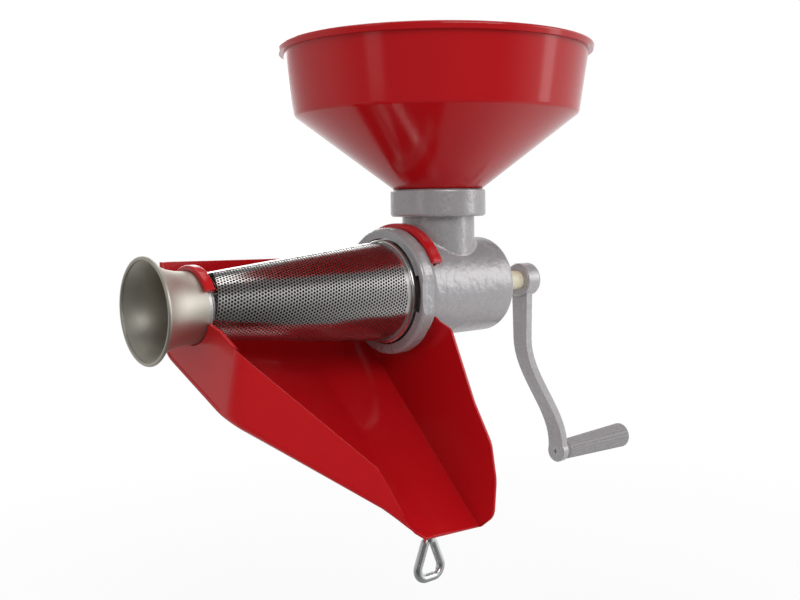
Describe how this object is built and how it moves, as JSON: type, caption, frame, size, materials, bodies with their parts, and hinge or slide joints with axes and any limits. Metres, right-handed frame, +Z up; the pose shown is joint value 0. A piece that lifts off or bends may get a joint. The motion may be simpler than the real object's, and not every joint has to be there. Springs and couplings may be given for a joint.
{
  "type": "food mill",
  "caption": "Hand-cranked food mill with a plastic hopper, perforated cone screen, waste spout, juice chute and table clamp.",
  "frame": {"origin": "centre of the clamp jaw's seat, on the axis of the clamp screw", "axes": "+X along the barrel from the waste spout to the crank; -Y towards the pouring lip; +Z up, square to the jaw's seat"},
  "size_m": [0.4846, 0.245, 0.4236],
  "materials": {
    "cast_body": "satin cast",
    "hopper_red": "gloss",
    "chute_red": "gloss",
    "screen_steel": "polished, perforated",
    "ring_steel": "polished",
    "spout_steel": "satin",
    "gasket": "matt",
    "nylon": "satin",
    "steel": "satin",
    "seal_rubber": "matt",
    "crank_cast": "satin cast",
    "grip_grey": "satin",
    "zinc": "bright zinc plate"
  },
  "bodies": {
    "mill": {"mill_body": "cast_body", "screen_seal": "gasket", "shaft_seal": "seal_rubber", "shaft_bush": "nylon", "juice_chute": "chute_red"},
    "hopper_bowl": {"hopper": "hopper_red"},
    "screen": {"screen_cone": "screen_steel", "screen_ring": "ring_steel", "screen_end_ring": "ring_steel", "waste_spout": "spout_steel"},
    "crank": {"auger": "nylon", "drive_shaft": "steel", "auger_pin": "steel", "auger_spring": "steel", "thrust_washer": "steel", "crank_arm": "crank_cast", "crank_washer": "steel", "crank_screw": "steel", "grip_pin": "steel", "grip_washer": "grip_grey", "grip_nut": "steel"},
    "handle_grip": {"grip": "grip_grey", "grip_cap": "grip_grey"},
    "foot": {"clamp_foot": "zinc"},
    "screw": {"clamp_screw": "zinc", "foot_ring": "steel"}
  },
  "joints": [
    {"name": "crank_turn", "type": "hinge", "parent": "mill", "child": "crank", "pos_m": [0.0837, 0, 0.095], "axis": [1, 0, 0], "continuous": true},
    {"name": "grip_spin", "type": "hinge", "parent": "crank", "child": "handle_grip", "pos_m": [0.2, 0, -0.0625], "axis": [1, 0, 0], "continuous": true},
    {"name": "screen_twist", "type": "hinge", "parent": "mill", "child": "screen", "pos_m": [-0.037, 0, 0.095], "axis": [1, 0, 0], "range_deg": [0, 80]},
    {"name": "hopper_lift", "type": "slide", "parent": "mill", "child": "hopper_bowl", "axis": [0, 0, 1], "range_m": [0, 0.1]},
    {"name": "pad_travel", "type": "slide", "parent": "mill", "child": "foot", "axis": [0, 0, 1], "range_m": [0, 0.025]},
    {"name": "screw_turn", "type": "hinge", "parent": "foot", "child": "screw", "pos_m": [0, 0, -0.06], "axis": [0, 0, 1], "range_deg": [0, 4510]}
  ],
  "couplings": [
    {"joint": "screw_turn", "follows": "pad_travel", "rad_per_m": 3141.6}
  ]
}
